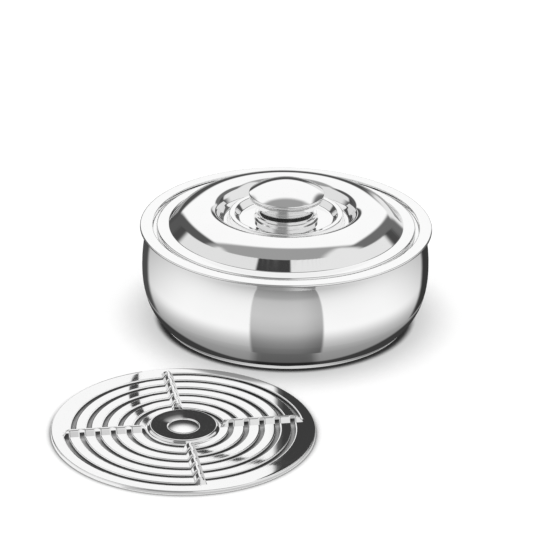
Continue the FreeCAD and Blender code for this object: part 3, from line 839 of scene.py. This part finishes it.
def tent_shade(bearing, rise):
    """Brightness of the studio tent in one direction, both angles in degrees."""
    turn = math.radians(bearing)
    across = (90 - rise) * math.sin(turn)
    deep = -(90 - rise) * math.cos(turn)
    ring = math.hypot(across / RING_WIDE, (min(deep, RING_FRONT) - RING_SET_BACK) / RING_DEEP)
    outside = smooth((ring - RING_EDGE) / RING_SOFT + 0.5)
    near = smooth((SIDE_NEAR - ring) / SIDE_NEAR_FADE)

    wall = FRONT_GREY
    wall = blend(wall, LEFT_GREY, within(bearing, -SIDE_END, BOOM_LEFT, blend(*LEFT_SOFT, near)))
    wall = blend(wall, RIGHT_GREY, within(bearing, BOOM_RIGHT, SIDE_END, blend(*RIGHT_SOFT, near)))
    boom = within(bearing, BOOM_LEFT, BOOM_RIGHT, BOOM_SOFT) * smooth((BOOM_REACH - ring) / BOOM_FADE)
    wall = blend(wall, BOOM_DARK, boom)
    for panel, bearings, rises in WALL_PANELS:
        wall = blend(wall, panel, within(abs(bearing), *bearings) * within(rise, *rises))

    ceiling = CEILING_GREY
    for panel, width, depth in CEILING_PANELS:
        ceiling = blend(ceiling, panel, within(across, *width) * within(deep, *depth))
    shade = blend(ceiling, wall, outside)

    shade = blend(shade, HORIZON_DARK, within(deep, *HORIZON_DEEP) * within(abs(bearing), *HORIZON_BEARING))
    return blend(shade, RIGHT_GREY, within(bearing, *BACK_BEARING) * within(rise, *BACK_RISE))


def build_tent(material):
    """Hemispherical tent over the set, from just below the table's level."""
    grid = []
    for row in range(TENT_ROWS + 1):
        rise = TENT_FOOT + TENT_SWEEP * row / TENT_ROWS
        flat = math.cos(math.radians(rise)) * TENT_RADIUS
        height = math.sin(math.radians(rise)) * TENT_RADIUS
        line = []
        for step in range(TENT_COLUMNS + 1):
            bearing = -180 + 360 * step / TENT_COLUMNS
            line.append((polar(bearing, flat, height), tent_shade(bearing, rise), 1))
        grid.append(line)
    card("tent", grid, material)


def build_rack_cards(material):
    """Cards that only the rack mirrors: a screen before the pot and a flag over the boss."""
    grid = []
    for height in SCREEN_HEIGHTS:
        line = []
        low = smooth((SCREEN_LOW - height) / SCREEN_LOW_FADE) * SCREEN_LOW_SHARE
        for step in range(SCREEN_STEPS + 1):
            bearing = blend(*SCREEN_BEARINGS, step / SCREEN_STEPS)
            shade = blend(BACK_WHITE, BOOM_DARK, max(within(bearing, *SCREEN_DARK), low))
            line.append((polar(bearing, SCREEN_RADIUS, height), shade, 1))
        grid.append(line)
    card("rack_screen", grid, material)

    grid = []
    for share in FLAG_SHARES:
        radius = HOLE_RADIUS - 1 + (BOSS_RADIUS - HOLE_RADIUS - 1) * share
        cover = smooth(min(share, 1 - share) / FLAG_EDGE)
        centre = smooth((FLAG_PALE_SHARE - share) / FLAG_PALE_FADE)
        line = []
        for step in range(FLAG_STEPS + 1):
            bearing = 360 * step / FLAG_STEPS
            x, y, z = polar(bearing, radius, FLAG_HEIGHT)
            place = (x + RACK_CENTRE.x * MM, y + (RACK_CENTRE.y + FLAG_SET_BACK) * MM, z)
            pale = FLAG_PALE * within(bearing, *FLAG_PALE_BEARING) * centre
            line.append((place, BOOM_DARK + pale, cover))
        grid.append(line)
    card("boss_flag", grid, material)


def table_shade(radius, bearing):
    """Brightness of the table: dim by the pot, full a hand's width away, fading far off and to the sides."""
    near = blend(TABLE_NEAR, 1, smooth((radius - TABLE_NEAR_START) / TABLE_NEAR_FADE))
    far = TABLE_FAR + TABLE_GAIN / (1 + (radius / TABLE_FALL) ** 2)
    return near * far * (1 - SIDE_LOSS * smooth((abs(bearing) - SIDE_START) / SIDE_FADE))


def ring_card(name, rings, material):
    """Card of rings round the pot: each gives (radius, height, shade, cover) at a bearing."""
    grid = []
    for ring in rings:
        line = []
        for step in range(RING_STEPS + 1):
            bearing = -180 + 360 * step / RING_STEPS
            radius, height, shade, cover = ring(bearing)
            line.append((polar(bearing, radius, height), shade, cover))
        grid.append(line)
    card(name, grid, material)


def build_table_cards(material):
    """Table, foot and heel as the wall mirrors them, and the dark line under the rim."""
    def table_ring(radius):
        return lambda bearing: (radius, TABLE_HEIGHT, table_shade(radius, bearing), 1)

    radii = [TABLE_START * TABLE_GROWTH ** step for step in range(TABLE_RINGS)]
    ring_card("table_glow", [table_ring(radius) for radius in radii], material)

    def foot_ring(radius):
        def ring(bearing):
            dim = smooth((abs(bearing) - FOOT_START) / FOOT_FADE)
            return radius, TABLE_HEIGHT, blend(FOOT_BRIGHT, FOOT_DIM, dim), 1
        return ring

    ring_card("foot_glow", [foot_ring(FOOT + 0.2), foot_ring(TABLE_START - 0.1)], material)

    # Dark ring at the heel's height: painted shade of the pot on the table, which the heel mirrors
    def heel_ring(share):
        def ring(bearing):
            reach = blend(HEEL_FRONT, HEEL_SIDE, smooth((abs(bearing) - HEEL_SIDE_START) / HEEL_SIDE_FADE))
            if share is None:
                radius = HEEL_OUT + reach * HEEL_OUT_SHARE
                shade = table_shade(radius, bearing)
            else:
                radius = FOOT + reach * share
                fade = smooth((share - HEEL_FADE_START) / HEEL_FADE)
                shade = blend(HEEL_DARK, table_shade(radius, bearing), fade)
            front = 1 - HEEL_FRONT_LOSS * within(bearing, *HEEL_FRONT_BEARING)
            return radius, HEEL_HEIGHT, shade * front, 1
        return ring

    ring_card("heel_painted_shade", [heel_ring(share) for share in (*HEEL_SHARES, None)], material)

    def rim_ring(reach, cover):
        return lambda bearing: (RIM_RADIUS + reach, RIM_LINE_HEIGHT, RIM_LINE_SHADE, cover)

    ring_card("rim_line", [rim_ring(reach, cover) for reach, cover in RIM_LINE], material)


def build_fan(material):
    """Darker fan on the table in front, soft-edged, spreading away from the pot."""
    grid = []
    for row in range(FAN_ROWS):
        away = FAN_START * FAN_GROWTH ** row
        left = -FAN_LEFT[0] * (away - FAN_APEX) ** FAN_LEFT[1]
        right = FAN_RIGHT[0] * (away - FAN_APEX) ** FAN_RIGHT[1]
        soft = FAN_SOFT + away * FAN_SOFT_GROWTH
        share = FAN_NEAR + FAN_GAIN * smooth((away - FAN_GAIN_START) / FAN_GAIN_REACH)
        share -= FAN_LOSS * smooth((away - FAN_LOSS_START) / FAN_LOSS_REACH)
        shade = table_shade(away, 0) * share
        line = []
        for step in range(FAN_COLUMNS + 1):
            spread = fan_place(step / FAN_COLUMNS, soft / (right - left))
            across = left - soft + (right - left + 2 * soft) * spread
            cover = within(across, left, right, 2 * soft)
            rightwards = smooth((across / right - FAN_RIGHT_START) / (1 - FAN_RIGHT_START))
            tone = shade * (1 - FAN_RIGHT_LOSS * rightwards)
            line.append(((across * MM, -away * MM, FAN_HEIGHT * MM), tone, cover))
        grid.append(line)
    card("front_fan", grid, material)


def fan_place(share, soft):
    """Spacing that puts a quarter of the columns in each soft edge."""
    edge = 2 * soft / (1 + 2 * soft)
    if share < 0.25:
        return edge * share * 4
    if share > 0.75:
        return 1 - edge * (1 - share) * 4
    return edge + (1 - 2 * edge) * (share - 0.25) * 2


def build_cloths(material):
    """Dark cloths that give the pot its dark outlines."""
    for side, name in ((-1, "cloth_left"), (1, "cloth_right")):
        grid = []
        for row in range(CLOTH_ROWS + 1):
            y = blend(CLOTH_START[1], CLOTH_END, row / CLOTH_ROWS)
            outer = CLOTH_START[0] + CLOTH_SPREAD[side] * (y - CLOTH_START[1])
            inner = max(math.sqrt(max(0, CLOTH_INNER ** 2 - y ** 2)), CLOTH_GAP * y)
            soft = CLOTH_SOFT + CLOTH_SOFT_GROWTH * (y - CLOTH_START[1])
            end = smooth((CLOTH_END - y) / CLOTH_FADE)
            line = []
            for step in range(CLOTH_COLUMNS + 1):
                x = inner + (outer + soft - inner) * (step / CLOTH_COLUMNS) ** CLOTH_CROWDING
                cover = smooth((outer + soft - x) / (2 * soft)) * end
                line.append(((side * x * MM, y * MM, CLOTH_HEIGHT * MM), CLOTH_SHADE[side], cover))
            grid.append(line)
        card(name, grid, material)


def build_floor():
    """Plain white table, with painted shade where it is touched; evenly bright in the polished steel."""
    mesh = bpy.data.meshes.new("floor")
    corners = [(-FLOOR_SIZE, -FLOOR_SIZE, 0), (FLOOR_SIZE, -FLOOR_SIZE, 0)]
    corners += [(FLOOR_SIZE, FLOOR_SIZE, 0), (-FLOOR_SIZE, FLOOR_SIZE, 0)]
    mesh.from_pydata(corners, [], [[0, 1, 2, 3]])
    floor = bpy.data.objects.new("floor", mesh)
    bpy.context.collection.objects.link(floor)
    material, nodes, links, shader = node_tree("floor_white")
    shader.inputs["Roughness"].default_value = 1
    shader.inputs["Specular IOR Level"].default_value = 0

    def openness(reach):
        node = nodes.new("ShaderNodeAmbientOcclusion")
        node.samples = SHADE_SAMPLES
        node.inputs["Distance"].default_value = reach * MM
        return node.outputs["AO"]

    # Painted shade: ambient occlusion darkens the floor's colour and lift by the pot's foot and under the
    # rack
    contact = openness(CONTACT_REACH)
    fade = remap(nodes, links, openness(SHADE_REACH), SHADE_OPEN, (SHADE_DEPTH, 1))
    white = remap(nodes, links, contact, CONTACT_OPEN, (FLOOR_DARK, FLOOR_WHITE))
    links.new(combine(nodes, links, "MULTIPLY", white, fade), shader.inputs["Base Color"])
    lift = remap(nodes, links, contact, LIFT_OPEN, (0, FLOOR_LIFT))
    shader.inputs["Emission Color"].default_value = (1, 1, 1, 1)
    links.new(combine(nodes, links, "MULTIPLY", lift, fade), shader.inputs["Emission Strength"])

    path = nodes.new("ShaderNodeLightPath")
    rays = (path.outputs["Is Glossy Ray"], path.outputs["Is Transmission Ray"])
    glow = nodes.new("ShaderNodeEmission")
    glow.inputs["Strength"].default_value = FLOOR_GLOW
    mix = nodes.new("ShaderNodeMixShader")
    links.new(combine(nodes, links, "MAXIMUM", *rays), mix.inputs[0])
    links.new(shader.outputs[0], mix.inputs[1])
    links.new(glow.outputs[0], mix.inputs[2])
    links.new(mix.outputs[0], nodes["Material Output"].inputs["Surface"])
    mesh.materials.append(material)


def build_studio():
    """Floor, world light, tent and cards."""
    build_floor()
    world = bpy.data.worlds.new("studio")
    bpy.context.scene.world = world
    world.use_nodes = True
    sky = world.node_tree.nodes["Background"]
    sky.inputs["Color"].default_value = (1, 1, 1, 1)
    sky.inputs["Strength"].default_value = 1
    glow = card_material("card")
    build_tent(glow)
    build_table_cards(glow)
    build_fan(glow)
    build_cloths(glow)
    build_rack_cards(card_material("one_sided_card", one_sided=True))


def build_camera():
    """Long lens, a little above the table, rolled slightly as in the photograph."""
    rise = math.radians(CAMERA_RISE)
    roll = math.radians(CAMERA_ROLL)
    aside = Vector(CAMERA_OFFSET)
    back = Vector((0, -math.cos(rise), math.sin(rise)))
    up = Vector((0, math.sin(rise), math.cos(rise)))
    right = Vector((1, 0, 0))
    rolled_right = right * math.cos(roll) + up * math.sin(roll)
    rolled_up = up * math.cos(roll) - right * math.sin(roll)
    data = bpy.data.cameras.new("camera")
    data.sensor_width = CAMERA_SENSOR
    data.lens = CAMERA_LENS
    data.clip_start = 0.05
    data.clip_end = 60
    camera = bpy.data.objects.new("camera", data)
    bpy.context.collection.objects.link(camera)
    place = Vector(CAMERA_TARGET) + back * CAMERA_DISTANCE + rolled_right * aside.x + rolled_up * aside.y
    matrix = camera.matrix_world.copy()
    for row in range(3):
        matrix[row][0] = rolled_right[row]
        matrix[row][1] = rolled_up[row]
        matrix[row][2] = back[row]
        matrix[row][3] = place[row]
    camera.matrix_world = matrix
    bpy.context.scene.camera = camera


def dress_nodes():
    """Materials of the CAD nodes that are shown as they are."""
    foam = grainy("rigid_foam", (0.78, 0.66, 0.42), (0.9, 0.8, 0.56), 900, 0.85, 0.3)
    plastic = grainy("plug_plastic", (0.02, 0.02, 0.02), (0.05, 0.05, 0.05), 1400, 0.45, 0.05)
    rubber = grainy("gasket_rubber", (0.012, 0.012, 0.012), (0.03, 0.03, 0.03), 1200, 0.6, 0.05)
    plain = steel("fastener_steel", 0.62, (0.25, 0.42), (2500, 0.01), (60, 0.01))
    finish = {
        "bowl_insulation": foam,
        "lid_insulation": foam,
        "foam_plug": plastic,
        "knob_gasket": rubber,
        "knob_insert": plain,
        "knob_washer": plain,
        "knob_screw": plain,
    }
    for name, material in finish.items():
        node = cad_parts[name]
        node.data.materials.clear()
        node.data.materials.append(material)


mirror = steel("polished_steel", 0.90, (0.015, 0.05), (700, 0.0006), (30, 0.01))
rack_metal = steel("rack_steel", 0.88, (0.03, 0.09), (600, 0.001), (24, 0.03), RACK_CENTRE)
build_bowl(mirror)
build_lid(mirror)
build_knob(mirror)
build_rack(rack_metal)
dress_nodes()
build_studio()
build_camera()
bpy.context.scene.view_settings.view_transform = "Standard"
